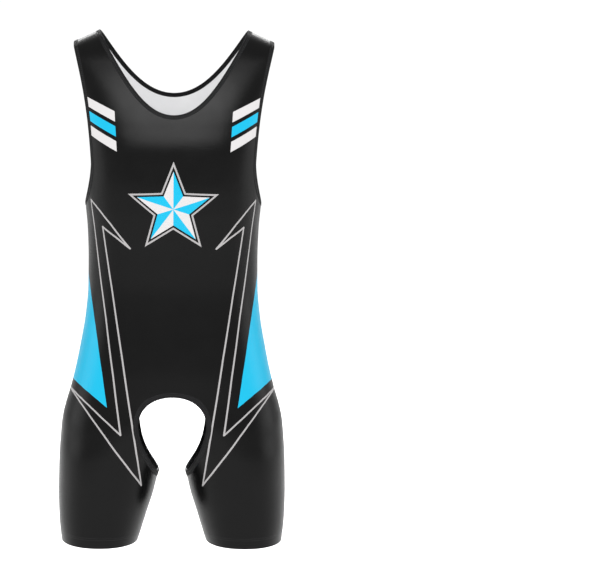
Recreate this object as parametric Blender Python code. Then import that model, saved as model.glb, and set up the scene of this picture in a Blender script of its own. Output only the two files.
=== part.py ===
"""Sleeveless athletic bodysuit with short legs and an open seat, filled out as worn.

Metres, +Z up. The front of the garment faces -Y and its left side is at +X. The origin is midway
between the two shoulder straps, at the height where they rest on the shoulders.

The cloth is one surface, worked out from a table of level sections. A point of it has two
coordinates. Its share of the way round is 0 on the middle of a section, 1 on the side seam and -1
on the inseam. Its level is a row number of the table. Each edge of the garment is a curve in those
two coordinates. Each piece of cloth is a grid laid between two edges and made into a thin wall.
"""

import math

import bmesh
import bpy
from mathutils import Vector

# Driving dimensions
CLOTH_THICKNESS = 0.0016
BINDING_WIDTH = 0.0075
OPENING_BINDING_WIDTH = 0.0090
BINDING_THICKNESS = 0.0024
BINDING_PROUD = 0.0004
SEAM_GAP = 0.0003

ARMPIT_HEIGHT = -0.280
CROTCH_HEIGHT = -0.746
HEM_HEIGHT = -0.867
SHOULDER_SLOPE = 0.46
STRAP_MIDDLE = 0.145
SLOPE_ENDS_AT_LEVEL = 5.0

# One row for each level section, from the ridge of the shoulders down to the leg hem.
# "outer" is from the middle of the garment to the side seam. "middle" is where the section is
# deepest: 0 on the torso, and the middle of a leg below it. "front" and "back" are the depths of
# the two halves from the side seam, and "squareness" is 2 on an ellipse and more on a boxier curve.
SECTION_COLUMNS = ("height", "outer", "middle", "front", "back", "squareness")
SECTIONS = (
    (0.000, 0.2050, 0.0000, 0.0000, 0.0000, 2.4),
    (-0.006, 0.2030, 0.0000, 0.0270, 0.0270, 2.4),
    (-0.024, 0.1960, 0.0000, 0.0500, 0.0500, 2.4),
    (-0.056, 0.1850, 0.0000, 0.0700, 0.0720, 2.4),
    (-0.096, 0.1730, 0.0000, 0.0880, 0.0890, 2.4),
    (-0.140, 0.1630, 0.0000, 0.1020, 0.0990, 2.4),
    (-0.185, 0.1560, 0.0000, 0.1110, 0.1030, 2.4),
    (-0.232, 0.1515, 0.0000, 0.1130, 0.1030, 2.4),
    (ARMPIT_HEIGHT, 0.1485, 0.0000, 0.1100, 0.0980, 2.4),
    (-0.325, 0.1445, 0.0000, 0.1050, 0.0910, 2.4),
    (-0.375, 0.1430, 0.0000, 0.1000, 0.0820, 2.4),
    (-0.425, 0.1435, 0.0000, 0.0970, 0.0770, 2.4),
    (-0.475, 0.1480, 0.0000, 0.0985, 0.0820, 2.4),
    (-0.525, 0.1565, 0.0000, 0.1020, 0.0960, 2.4),
    (-0.570, 0.1657, 0.0000, 0.1040, 0.1100, 2.4),
    (-0.605, 0.1745, 0.0000, 0.1040, 0.1180, 2.4),
    (-0.630, 0.1820, 0.0200, 0.1030, 0.1200, 2.3),
    (-0.655, 0.1875, 0.0480, 0.1020, 0.1180, 2.2),
    (-0.685, 0.1905, 0.0800, 0.0990, 0.1120, 2.1),
    (-0.715, 0.1925, 0.1000, 0.0960, 0.1050, 2.1),
    (CROTCH_HEIGHT, 0.1935, 0.1079, 0.0930, 0.0990, 2.1),
    (-0.785, 0.1940, 0.1132, 0.0880, 0.0920, 2.1),
    (-0.825, 0.1930, 0.1190, 0.0830, 0.0870, 2.1),
    (HEM_HEIGHT, 0.1890, 0.1235, 0.0790, 0.0830, 2.1),
)
LAST_LEVEL = len(SECTIONS) - 1
ARMPIT_LEVEL = 8

# Finished edges as Bezier points, one row for each Bezier. The neckline and the seat opening are
# (across, height) as seen from the front or the back. The neckline runs from the shoulder to the
# middle, and the opening from the middle to the inseam.
NECK_POINT = (0.1240, 0.0097)
NECKLINE = {
    "front": ((NECK_POINT, (0.079, -0.066), (0.047, -0.121), (0.0, -0.121)),),
    "back": ((NECK_POINT, (0.083, -0.063), (0.046, -0.108), (0.0, -0.108)),),
}
INSEAM_TOP = (0.0223, CROTCH_HEIGHT)
OPENING = {
    "front": (
        ((0.0, -0.5985), (0.033, -0.5985), (0.057, -0.618), (0.057, -0.648)),
        ((0.057, -0.648), (0.057, -0.672), (0.043, -0.700), INSEAM_TOP),
    ),
    "back": (
        ((0.0, -0.601), (0.034, -0.601), (0.058, -0.620), (0.058, -0.655)),
        ((0.058, -0.655), (0.058, -0.700), (0.050, -0.728), INSEAM_TOP),
    ),
}
# The armhole is (share, level), from the side seam under the arm up to the shoulder ridge.
ARMHOLE_TURN_LEVEL = 6.3
ARMHOLE = {
    "front": (
        ((1.0, ARMPIT_LEVEL), (0.800, 8.0), (0.665, 7.35), (0.655, ARMHOLE_TURN_LEVEL)),
        ((0.655, ARMHOLE_TURN_LEVEL), (0.645, 5.2), (0.575, 2.2), (0.565, 0.0)),
    ),
    "back": (
        ((1.0, ARMPIT_LEVEL), (0.810, 8.0), (0.695, 7.40), (0.678, ARMHOLE_TURN_LEVEL)),
        ((0.678, ARMHOLE_TURN_LEVEL), (0.660, 5.2), (0.575, 2.2), (0.565, 0.0)),
    ),
}

# Rows of a panel, counted upwards from the hem, and its columns from the inner edge to the outer.
LEG_ROWS = 5
OPENING_LOWER_ROWS = 6
OPENING_UPPER_ROWS = 6
LOWER_BODY_ROWS = 7
UPPER_BODY_ROWS = 8
STRAP_ROWS = 13
PANEL_COLUMNS = 14
BINDING_COLUMNS = 2
# The heights where one band of rows meets the next, on the side seam and on the middle line
SIDE_BESIDE_INSEAM = -0.776
SIDE_ABOVE_OPENING = -0.560
MIDDLE_AT_ARMPIT = -0.300

TOWARDS = {"front": -1.0, "back": 1.0}
TINY = 1e-4
SHARP_ANGLE = math.radians(40)

# Colours, as linear RGB, of the knit and of its binding, and how rough each is
KNIT_BLACK = (0.012, 0.012, 0.013, 1.0)
KNIT_ROUGHNESS = 0.62
BINDING_BLACK = (0.007, 0.007, 0.008, 1.0)
BINDING_ROUGHNESS = 0.5


def clear_scene():
    for thing in list(bpy.data.objects):
        bpy.data.objects.remove(thing, do_unlink=True)


def slope_at(column, row):
    """A column's slope at a row of the table, held back so that no curve overshoots its rows."""
    if row == 0:
        leaves_the_ridge = SECTION_COLUMNS[column] in ("front", "back")
        return SECTIONS[1][column] - SECTIONS[0][column] if leaves_the_ridge else 0.0
    before = SECTIONS[row][column] - SECTIONS[row - 1][column]
    if row == LAST_LEVEL:
        return before
    after = SECTIONS[row + 1][column] - SECTIONS[row][column]
    return 0.0 if before * after <= 0 else 2 * before * after / (before + after)


def section_value(name, level):
    """A column of the table at any level, on a smooth cubic curve through its rows."""
    column = SECTION_COLUMNS.index(name)
    row = min(max(int(level), 0), LAST_LEVEL - 1)
    t = level - row
    start, end = SECTIONS[row][column], SECTIONS[row + 1][column]
    leave, arrive = slope_at(column, row), slope_at(column, row + 1)
    return (
        start * (2 * t**3 - 3 * t**2 + 1)
        + leave * (t**3 - 2 * t**2 + t)
        + end * (3 * t**2 - 2 * t**3)
        + arrive * (t**3 - t**2)
    )


def shoulder_rise(across, level):
    """How far the slope of the shoulders lifts a point above its section."""
    left = max(0.0, 1.0 - level / SLOPE_ENDS_AT_LEVEL)
    return SHOULDER_SLOPE * (STRAP_MIDDLE - abs(across)) * left**2 * (3 - 2 * left)


def cloth_point(half, share, level):
    """The outer face of the cloth, on the front or the back half."""
    turn = share * math.pi / 2
    squareness = section_value("squareness", level)
    corner = abs(math.sin(turn)) ** squareness + abs(math.cos(turn)) ** squareness
    reach = corner ** (-1 / squareness)
    middle = section_value("middle", level)
    across = middle + (section_value("outer", level) - middle) * reach * math.sin(turn)
    depth = section_value(half, level) * reach * math.cos(turn)
    height = section_value("height", level) + shoulder_rise(across, level)
    return Vector((across, TOWARDS[half] * depth, height))


def surface_slopes(half, share, level):
    """How a point of the cloth moves with its share and with its level."""
    above, below = max(level - TINY, 0.0), min(level + TINY, LAST_LEVEL)
    along_share = cloth_point(half, share + TINY, level) - cloth_point(half, share - TINY, level)
    along_level = cloth_point(half, share, below) - cloth_point(half, share, above)
    return along_share / (2 * TINY), along_level / (below - above)


def outward(half, share, level):
    """The cloth's normal. On a seam it lies in the seam's plane, so that two walls meet squarely."""
    along_share, along_level = surface_slopes(half, share, level)
    normal = along_share.cross(along_level) * TOWARDS[half]
    if level == 0.0 or abs(share) == 1.0:
        normal.y = 0.0
    return normal.normalized()


def level_at(across, height):
    """The level at which the cloth passes this height, this far from the middle."""
    low, high = 0.0, float(LAST_LEVEL)
    for _ in range(48):
        level = (low + high) / 2
        if section_value("height", level) + shoulder_rise(across, level) > height:
            low = level
        else:
            high = level
    return (low + high) / 2


def share_at(across, level):
    """The share of the way round at which a section is this far from the middle."""
    middle = section_value("middle", level)
    squareness = section_value("squareness", level)
    part = (across - middle) / (section_value("outer", level) - middle)
    if abs(part) >= 1.0:
        return math.copysign(1.0, part)
    if part == 0.0:
        return 0.0
    turn = math.atan((abs(part) ** -squareness - 1) ** (-1 / squareness))
    return math.copysign(turn / (math.pi / 2), part)


def bezier(points, t):
    weights = ((1 - t) ** 3, 3 * t * (1 - t) ** 2, 3 * t**2 * (1 - t), t**3)
    return tuple(sum(w * point[axis] for w, point in zip(weights, points)) for axis in (0, 1))


def seen_edge(points, t):
    """A point of an edge that is drawn as seen from the front or the back, as (share, level)."""
    across, height = bezier(points, t)
    level = level_at(across, height)
    return share_at(across, level), level


def neckline(half, t):
    """From the shoulder ridge, at 0, to the middle of the neck, at 1."""
    return seen_edge(NECKLINE[half][0], t**2)


def opening(half, t):
    """From the middle of the seat opening, at 0, past its widest, at 1, to the inseam, at 2."""
    part = min(int(t), 1)
    rest = t - part
    return seen_edge(OPENING[half][part], rest if part == 0 else 1 - (1 - rest) ** 2)


def armhole(half, t):
    """From the side seam, at 0, past the armhole's turn, at 1, to the shoulder ridge, at 2."""
    part = min(int(t), 1)
    return bezier(ARMHOLE[half][part], t - part)


def moved_in(half, edge, t, last, distance):
    """A point this far into the cloth from an edge, square to it, as (share, level)."""
    share, level = edge(half, t)
    if distance == 0:
        return share, level
    here = edge(half, max(t - TINY, 0.0))
    there = edge(half, min(t + TINY, last))
    along_share, along_level = surface_slopes(half, share, level)
    along_edge = along_share * (there[0] - here[0]) + along_level * (there[1] - here[1])
    inwards = along_edge.cross(outward(half, share, level)).normalized()
    inwards *= distance * TOWARDS[half]
    # The steps in share and level that together move a point of the surface inwards
    a, b, c = along_share.length_squared, along_share.dot(along_level), along_level.length_squared
    p, q = along_share.dot(inwards), along_level.dot(inwards)
    size = a * c - b * b
    return share + (p * c - q * b) / size, level + (q * a - p * b) / size


def neck_edge(half, t, inset):
    share, level = moved_in(half, neckline, t, 1.0, inset)
    if t <= 0.0:
        return share, 0.0
    return (0.0, level) if t >= 1.0 else (share, level)


def opening_edge(half, t, inset):
    share, level = moved_in(half, opening, t, 2.0, inset)
    if t <= 0.0:
        return 0.0, level
    return (-1.0, level) if t >= 2.0 else (share, level)


def armhole_edge(half, t, inset):
    share, level = moved_in(half, armhole, t, 2.0, inset)
    if t <= 0.0:
        return 1.0, level
    return (share, 0.0) if t >= 2.0 else (share, level)


def spread(start, end, count):
    """Evenly spaced values from start to end, both included."""
    return [start + (end - start) * n / count for n in range(count + 1)]


def neck_steps():
    """Places along the neckline, from its middle up to the shoulder."""
    return spread(1.0, 0.0, STRAP_ROWS)


def opening_steps():
    """Places along the seat opening, from the inseam up to its middle."""
    return spread(2.0, 1.0, OPENING_LOWER_ROWS) + spread(1.0, 0.0, OPENING_UPPER_ROWS)[1:]


def armhole_steps():
    """Places along the armhole, from the side seam up to the shoulder."""
    return spread(0.0, 1.0, UPPER_BODY_ROWS) + spread(1.0, 2.0, STRAP_ROWS)[1:]


def inner_border(half):
    """The panel's inner edge, a point for each row, from the leg hem to the neck."""
    neck_inset = BINDING_WIDTH + SEAM_GAP
    opening_inset = OPENING_BINDING_WIDTH + SEAM_GAP
    round_opening = [opening_edge(half, t, opening_inset) for t in opening_steps()]
    round_neck = [neck_edge(half, t, neck_inset) for t in neck_steps()]
    at_armpit = level_at(0.0, MIDDLE_AT_ARMPIT)
    leg = spread(LAST_LEVEL, round_opening[0][1], LEG_ROWS)[:-1]
    lower_body = spread(round_opening[-1][1], at_armpit, LOWER_BODY_ROWS)[1:]
    upper_body = spread(at_armpit, round_neck[0][1], UPPER_BODY_ROWS)[1:]
    middle_line = [(0.0, level) for level in lower_body + upper_body]
    return [(-1.0, level) for level in leg] + round_opening + middle_line + round_neck[1:]


def outer_border(half):
    """The panel's outer edge, a point for each row, from the leg hem to the armhole's top."""
    inset = BINDING_WIDTH + SEAM_GAP
    round_armhole = [armhole_edge(half, t, inset) for t in armhole_steps()]
    beside_inseam = level_at(0.0, SIDE_BESIDE_INSEAM)
    above_opening = level_at(0.0, SIDE_ABOVE_OPENING)
    leg = spread(LAST_LEVEL, beside_inseam, LEG_ROWS)[:-1]
    seat = spread(beside_inseam, above_opening, OPENING_LOWER_ROWS + OPENING_UPPER_ROWS)
    body = spread(above_opening, round_armhole[0][1], LOWER_BODY_ROWS)[1:]
    side_seam = [(1.0, level) for level in leg + seat + body]
    return side_seam + round_armhole[1:]


def cloth_grid(half, near_side, far_side, columns, lift):
    """A sheet between two borders, lifted off the cloth, with its wall's direction at each point."""
    bm = bmesh.new()
    rows = len(near_side) - 1
    bmesh.ops.create_grid(bm, x_segments=columns, y_segments=rows, size=0.5)
    wall = bm.verts.layers.float_vector.new("wall")
    for vertex in bm.verts:
        part = vertex.co.x + 0.5
        row = round((vertex.co.y + 0.5) * rows)
        share = near_side[row][0] + (far_side[row][0] - near_side[row][0]) * part
        level = near_side[row][1] + (far_side[row][1] - near_side[row][1]) * part
        normal = outward(half, share, level)
        vertex[wall] = normal
        vertex.co = cloth_point(half, share, level) + normal * lift
        vertex.co.y += TOWARDS[half] * SEAM_GAP / 2
    return bm


def add_other_side(bm):
    """Adds the sheet's mirror image and joins the two where the cloth crosses the middle."""
    wall = bm.verts.layers.float_vector["wall"]
    whole = bm.verts[:] + bm.edges[:] + bm.faces[:]
    bmesh.ops.mirror(bm, geom=whole, merge_dist=TINY, axis="X")
    for vertex in bm.verts:
        if vertex.co.x < -TINY:
            vertex[wall].x *= -1


def make_wall(bm, thickness):
    """Makes the sheet a closed wall, whose inner face lies this far in along the cloth's normals."""
    wall = bm.verts.layers.float_vector["wall"]
    made = bmesh.ops.extrude_face_region(bm, geom=bm.faces[:])
    for item in made["geom"]:
        if isinstance(item, bmesh.types.BMVert):
            item.co -= item[wall] * thickness
    bmesh.ops.recalc_face_normals(bm, faces=bm.faces[:])


def swap_sides(bm):
    """Turns a piece for the left side into the one for the right side."""
    bmesh.ops.scale(bm, vec=(-1.0, 1.0, 1.0), verts=bm.verts[:])
    bmesh.ops.reverse_faces(bm, faces=bm.faces[:])


def cloth_material(name, colour, roughness):
    material = bpy.data.materials.new(name)
    material.use_nodes = True
    material.diffuse_color = colour
    shader = material.node_tree.nodes["Principled BSDF"]
    shader.inputs["Base Color"].default_value = colour
    shader.inputs["Roughness"].default_value = roughness
    shader.inputs["Metallic"].default_value = 0.0
    return material


def add_object(name, bm, material):
    mesh = bpy.data.meshes.new(name)
    bm.to_mesh(mesh)
    bm.free()
    mesh.materials.append(material)
    mesh.shade_smooth()
    mesh.set_sharp_from_angle(angle=SHARP_ANGLE)
    bpy.context.scene.collection.objects.link(bpy.data.objects.new(name, mesh))


def build_panel(half, material):
    """The front or the back in one cut: body, two straps and two leg halves."""
    bm = cloth_grid(half, inner_border(half), outer_border(half), PANEL_COLUMNS, lift=0.0)
    add_other_side(bm)
    make_wall(bm, CLOTH_THICKNESS)
    add_object(half + "_panel", bm, material)


def binding_sheet(half, edge, places, width):
    """A strip of binding that covers an edge of one half of the garment."""
    finished = [edge(half, t, 0.0) for t in places]
    seam = [edge(half, t, width) for t in places]
    return cloth_grid(half, finished, seam, BINDING_COLUMNS, BINDING_PROUD)


def build_middle_binding(name, half, edge, places, width, material):
    """The binding of an edge that crosses the middle of the garment."""
    bm = binding_sheet(half, edge, places, width)
    add_other_side(bm)
    make_wall(bm, BINDING_THICKNESS)
    add_object(name + half, bm, material)


def build_armhole_bindings(half, material):
    """The same armhole binding on the left and, mirrored, on the right."""
    for side in ("left", "right"):
        bm = binding_sheet(half, armhole_edge, armhole_steps(), BINDING_WIDTH)
        make_wall(bm, BINDING_THICKNESS)
        if side == "right":
            swap_sides(bm)
        add_object(side + "_armhole_binding_" + half, bm, material)


def main():
    clear_scene()
    knit = cloth_material("black_knit", KNIT_BLACK, KNIT_ROUGHNESS)
    binding = cloth_material("black_binding", BINDING_BLACK, BINDING_ROUGHNESS)
    for half in ("front", "back"):
        build_panel(half, knit)
        build_middle_binding(
            "neck_binding_", half, neck_edge, neck_steps(), BINDING_WIDTH, binding
        )
        build_middle_binding(
            "opening_binding_", half, opening_edge, opening_steps(), OPENING_BINDING_WIDTH, binding
        )
        build_armhole_bindings(half, binding)


main()
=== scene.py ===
"""Sleeveless athletic bodysuit in printed stretch knit, filled out as worn, in a plain studio."""

import math
from functools import lru_cache

import bmesh
import bpy
from bpy.props import FloatProperty, FloatVectorProperty, IntProperty, PointerProperty
from mathutils import Matrix, Vector


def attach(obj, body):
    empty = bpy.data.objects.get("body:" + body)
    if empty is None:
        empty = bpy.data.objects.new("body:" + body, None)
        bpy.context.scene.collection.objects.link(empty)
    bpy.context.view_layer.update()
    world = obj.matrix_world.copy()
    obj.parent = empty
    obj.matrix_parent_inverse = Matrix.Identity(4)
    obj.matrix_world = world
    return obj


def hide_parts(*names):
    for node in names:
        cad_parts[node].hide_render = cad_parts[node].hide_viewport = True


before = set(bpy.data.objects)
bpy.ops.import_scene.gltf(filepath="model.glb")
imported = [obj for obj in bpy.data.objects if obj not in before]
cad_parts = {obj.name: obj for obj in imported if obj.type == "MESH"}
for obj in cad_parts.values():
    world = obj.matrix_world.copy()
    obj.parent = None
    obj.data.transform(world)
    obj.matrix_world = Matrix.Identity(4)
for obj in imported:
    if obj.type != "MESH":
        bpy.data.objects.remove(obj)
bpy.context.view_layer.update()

bl_info = {
    "name": "Athletic Bodysuit",
    "version": (1, 0, 0),
    "blender": (4, 5, 0),
    "location": "View3D > Sidebar > Bodysuit",
    "description": "Builds the cloth, bindings, hems, seams and stitching of an athletic bodysuit",
    "category": "Add Mesh",
}

# The cut of the garment
# The cloth is one surface, worked out from a table of level sections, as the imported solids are.
# A point of it has two coordinates. Its share of the way round is 0 on the middle of a section,
# 1 on the side seam and -1 on the inseam. Its level is a row number of the table.
ARMPIT_HEIGHT = -0.280
CROTCH_HEIGHT = -0.746
HEM_HEIGHT = -0.867
SHOULDER_SLOPE = 0.46
STRAP_MIDDLE = 0.145
SLOPE_ENDS_AT_LEVEL = 5.0
# The halves all but touch where they are sewn, so that no light shows between them.
SEAM_GAP = 0.00002

SECTION_COLUMNS = ("height", "outer", "middle", "front", "back", "squareness")
SECTIONS = (
    (0.000, 0.2050, 0.0000, 0.0000, 0.0000, 2.4),
    (-0.006, 0.2030, 0.0000, 0.0270, 0.0270, 2.4),
    (-0.024, 0.1960, 0.0000, 0.0500, 0.0500, 2.4),
    (-0.056, 0.1850, 0.0000, 0.0700, 0.0720, 2.4),
    (-0.096, 0.1730, 0.0000, 0.0880, 0.0890, 2.4),
    (-0.140, 0.1630, 0.0000, 0.1020, 0.0990, 2.4),
    (-0.185, 0.1560, 0.0000, 0.1110, 0.1030, 2.4),
    (-0.232, 0.1515, 0.0000, 0.1130, 0.1030, 2.4),
    (ARMPIT_HEIGHT, 0.1485, 0.0000, 0.1100, 0.0980, 2.4),
    (-0.325, 0.1445, 0.0000, 0.1050, 0.0910, 2.4),
    (-0.375, 0.1430, 0.0000, 0.1000, 0.0820, 2.4),
    (-0.425, 0.1435, 0.0000, 0.0970, 0.0770, 2.4),
    (-0.475, 0.1480, 0.0000, 0.0985, 0.0820, 2.4),
    (-0.525, 0.1565, 0.0000, 0.1020, 0.0960, 2.4),
    (-0.570, 0.1657, 0.0000, 0.1040, 0.1100, 2.4),
    (-0.605, 0.1745, 0.0000, 0.1040, 0.1180, 2.4),
    (-0.630, 0.1820, 0.0200, 0.1030, 0.1200, 2.3),
    (-0.655, 0.1875, 0.0480, 0.1020, 0.1180, 2.2),
    (-0.685, 0.1905, 0.0800, 0.0990, 0.1120, 2.1),
    (-0.715, 0.1925, 0.1000, 0.0960, 0.1050, 2.1),
    (CROTCH_HEIGHT, 0.1935, 0.1079, 0.0930, 0.0990, 2.1),
    (-0.785, 0.1940, 0.1132, 0.0880, 0.0920, 2.1),
    (-0.825, 0.1930, 0.1190, 0.0830, 0.0870, 2.1),
    (HEM_HEIGHT, 0.1890, 0.1235, 0.0790, 0.0830, 2.1),
)
LAST_LEVEL = len(SECTIONS) - 1
ARMPIT_LEVEL = 8

# Finished edges as Bezier points. The neckline and the seat opening are (across, height) as seen
# from the front or the back, and the armhole is (share, level).
NECK_POINT = (0.1240, 0.0097)
NECKLINE = {
    "front": (NECK_POINT, (0.079, -0.066), (0.047, -0.121), (0.0, -0.121)),
    "back": (NECK_POINT, (0.083, -0.063), (0.046, -0.108), (0.0, -0.108)),
}
INSEAM_TOP = (0.0223, CROTCH_HEIGHT)
OPENING = {
    "front": (
        ((0.0, -0.5985), (0.033, -0.5985), (0.057, -0.618), (0.057, -0.648)),
        ((0.057, -0.648), (0.057, -0.672), (0.043, -0.700), INSEAM_TOP),
    ),
    "back": (
        ((0.0, -0.601), (0.034, -0.601), (0.058, -0.620), (0.058, -0.655)),
        ((0.058, -0.655), (0.058, -0.700), (0.050, -0.728), INSEAM_TOP),
    ),
}
ARMHOLE_TURN_LEVEL = 6.3
ARMHOLE_TOP_SHARE = 0.565
ARMHOLE = {
    "front": (
        ((1.0, ARMPIT_LEVEL), (0.800, 8.0), (0.665, 7.35), (0.655, ARMHOLE_TURN_LEVEL)),
        ((0.655, ARMHOLE_TURN_LEVEL), (0.645, 5.2), (0.575, 2.2), (ARMHOLE_TOP_SHARE, 0.0)),
    ),
    "back": (
        ((1.0, ARMPIT_LEVEL), (0.810, 8.0), (0.695, 7.40), (0.678, ARMHOLE_TURN_LEVEL)),
        ((0.678, ARMHOLE_TURN_LEVEL), (0.660, 5.2), (0.575, 2.2), (ARMHOLE_TOP_SHARE, 0.0)),
    ),
}

# Rows of a panel before they are made finer, counted upwards from the hem, and its columns
LEG_ROWS = 5
OPENING_LOWER_ROWS = 6
OPENING_UPPER_ROWS = 6
LOWER_BODY_ROWS = 7
UPPER_BODY_ROWS = 8
STRAP_ROWS = 13
PANEL_COLUMNS = 42
# The heights that the panel's rows reach on the side seam and on the middle
SIDE_BESIDE_INSEAM = -0.776
SIDE_ABOVE_OPENING = -0.560
MIDDLE_AT_ARMPIT = -0.300

# Sewing
# The cloth runs in under its binding by this part of the binding's width.
TUCKED_UNDER = 0.45
# How far the face dips where it is sewn, and the part of its breadth that the dip takes up
SEAM_SINK = 0.0006
SEAM_SIDE = 0.010
HEM_DEPTH = 0.020
HEM_ROWS = 12
ALLOWANCE_WIDTH = 0.0060
ALLOWANCE_THICKNESS = 0.0012
# How far what is sewn inside sinks into the cloth
OVERLAP = 0.00005
# Rows of stitches, as shares of the binding's width from its folded edge, and in metres up from
# a hem's fold and in from a seam
BINDING_STITCH_ROWS = (0.55, 0.82)
HEM_STITCH_ROWS = (0.0150, 0.0182)
ALLOWANCE_STITCH_ROWS = (0.003,)
# How deep a row of stitches pulls the strip in, on bindings and inside, and how wide
BINDING_DIP = 0.00012
INNER_DIP = 0.0001
DIP_WIDTH = 0.0007
# A strip thins by this part of its half thickness over the last of its width.
EDGE_STARTS = 0.94
EDGE_MIDDLE = 0.98
EDGE_DROP = 0.35
FOLD_STEPS = 4
FACE_STEPS = 12
# A line of stitches is laid over this many steps, each stitch lower than it is wide.
STITCH_LINE_STEPS = 160
THREAD_HEIGHT = 0.8

HALVES = ("front", "back")
SIDES = ("left", "right")
TOWARDS = {"front": -1.0, "back": 1.0}
TINY = 1e-4
LEVEL_HALVINGS = 40
SHARP_ANGLE = math.radians(40)
# Lengths on the flat cloth are measured in steps, round a section and down one line.
FLAT_STEPS = 12
MERIDIAN_SHARE = 0.45
MERIDIAN_STEPS = 8
MILLIMETRES = 1000.0
FLAT_MAP = "flat_cloth"

# How far above the horizon the garment is seen from, for the camera and for the print
SEEN_FROM = math.radians(10.5)

# The print, as (across, height) seen from the front or the back, on the garment's left side
PRINT_LINE_WIDTH = 0.0030
# A line is split until it leaves the flat cloth's straight one by less than this in millimetres,
# or until its pieces are about this part of it.
LINE_BEND = 0.6
LEAST_PIECE = 0.04
# How often a height is put right, and by how much of what it is still out
HEIGHT_TRIES = 25
HEIGHT_STEP = 0.6
FRONT_BOLT = (
    (0.072, -0.346),
    (0.138, -0.270),
    (0.087, -0.664),
    (0.175, -0.600),
    (0.052, -0.758),
    (0.118, -0.313),
    (0.072, -0.346),
)
BACK_LINES = (
    ((0.1435, -0.391), (0.0945, -0.259), (0.0400, -0.501), (0.0, -0.541)),
    ((0.1430, -0.434), (0.0990, -0.3135), (0.0540, -0.509), (0.0, -0.562)),
    ((0.1775, -0.8570), (0.1163, -0.497), (0.0250, -0.578)),
    ((0.1617, -0.8620), (0.1058, -0.528), (0.0450, -0.581)),
)
# The side triangle's upper end, its inner tip and its lower end, and a place inside it
SIDE_TRIANGLE = ((0.1425, -0.405), (0.1100, -0.619), (0.1705, -0.585))
INSIDE_TRIANGLE = (0.1450, -0.560)
# Three bars on each strap: an inner and an outer place on the top bar's upper line, and the inner
# place on the next bar's. On the front they end short of the neck, on the back at its binding.
BARS = {
    "front": ((0.0990, -0.1165), (0.1440, -0.0965), (0.0965, -0.1413)),
    "back": ((0.0980, -0.0405), (0.1425, -0.0675), (0.0860, -0.0560)),
}
BAR_COUNT = 3
BAR_PART = 0.70
BARS_INNER_END = ((0.0990, -0.105), (0.0945, -0.180))
# The crescent round the back of the opening: its middle, top and side
CRESCENT = ((0.0, -0.648), (0.0, -0.566), (0.087, -0.648))
CRESCENT_HALO = 0.010
STAR_MIDDLE = (0.0, -0.277)
STAR_ARMS = 5
STAR_RADIUS = 0.064
STAR_NOTCH = 0.43
STAR_RIM_GAP = 0.003
STAR_RIM_WIDTH = 0.003


def linear(hex_colour):
    """An sRGB hex colour as linear red, green and blue."""
    channels = [int(hex_colour[n : n + 2], 16) / 255 for n in (1, 3, 5)]
    return tuple(c / 12.92 if c <= 0.04045 else ((c + 0.055) / 1.055) ** 2.4 for c in channels)


class ClothSettings(bpy.types.PropertyGroup):
    thickness: FloatProperty(
        name="Cloth thickness",
        description="How thick the knit is, both faces included",
        default=0.0016,
        unit="LENGTH",
    )
    fineness: IntProperty(
        name="Fineness",
        description="Fine rows of cloth for each row of the packed solid",
        default=4,
        min=1,
        max=6,
    )
    black: FloatVectorProperty(
        name="Knit black",
        description="The dyed ground of the outer face",
        subtype="COLOR",
        default=linear("#040404"),
    )
    cyan: FloatVectorProperty(
        name="Print cyan",
        description="The bright colour of the bars, side triangles and star",
        subtype="COLOR",
        default=linear("#108aa8"),
    )
    white: FloatVectorProperty(
        name="Print white",
        description="The pale colour of the bars, crescent and star",
        subtype="COLOR",
        default=linear("#a3a1a1"),
    )
    grey: FloatVectorProperty(
        name="Line grey",
        description="The colour of the thin printed lines",
        subtype="COLOR",
        default=linear("#858383"),
    )
    inside: FloatVectorProperty(
        name="Inside white",
        description="The undyed inner face of the knit",
        subtype="COLOR",
        default=linear("#c3c3c4"),
    )


class BindingSettings(bpy.types.PropertyGroup):
    width: FloatProperty(
        name="Binding width",
        description="Width of the neck and armhole bindings",
        default=0.0075,
        unit="LENGTH",
    )
    opening_width: FloatProperty(
        name="Opening binding width",
        description="Width of the binding round the open seat",
        default=0.0090,
        unit="LENGTH",
    )
    proud: FloatProperty(
        name="Proud of the cloth",
        description="How far the binding stands off the outer face",
        default=0.0005,
        unit="LENGTH",
    )
    thickness: FloatProperty(
        name="Binding thickness",
        description="Both layers of the binding with the cloth between them",
        default=0.0026,
        unit="LENGTH",
    )
    black: FloatVectorProperty(
        name="Binding black",
        description="The dyed colour of the binding",
        subtype="COLOR",
        default=linear("#060607"),
    )


class StitchSettings(bpy.types.PropertyGroup):
    length: FloatProperty(
        name="Stitch length",
        description="How much of one stitch shows",
        default=0.0026,
        unit="LENGTH",
    )
    pitch: FloatProperty(
        name="Stitch pitch",
        description="From one stitch to the next",
        default=0.0034,
        unit="LENGTH",
    )
    thread: FloatProperty(
        name="Thread width",
        description="How wide the sewing thread lies",
        default=0.00045,
        unit="LENGTH",
    )
    black: FloatVectorProperty(
        name="Thread black",
        description="The colour of the sewing thread",
        subtype="COLOR",
        default=linear("#0d0d0e"),
    )


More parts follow.
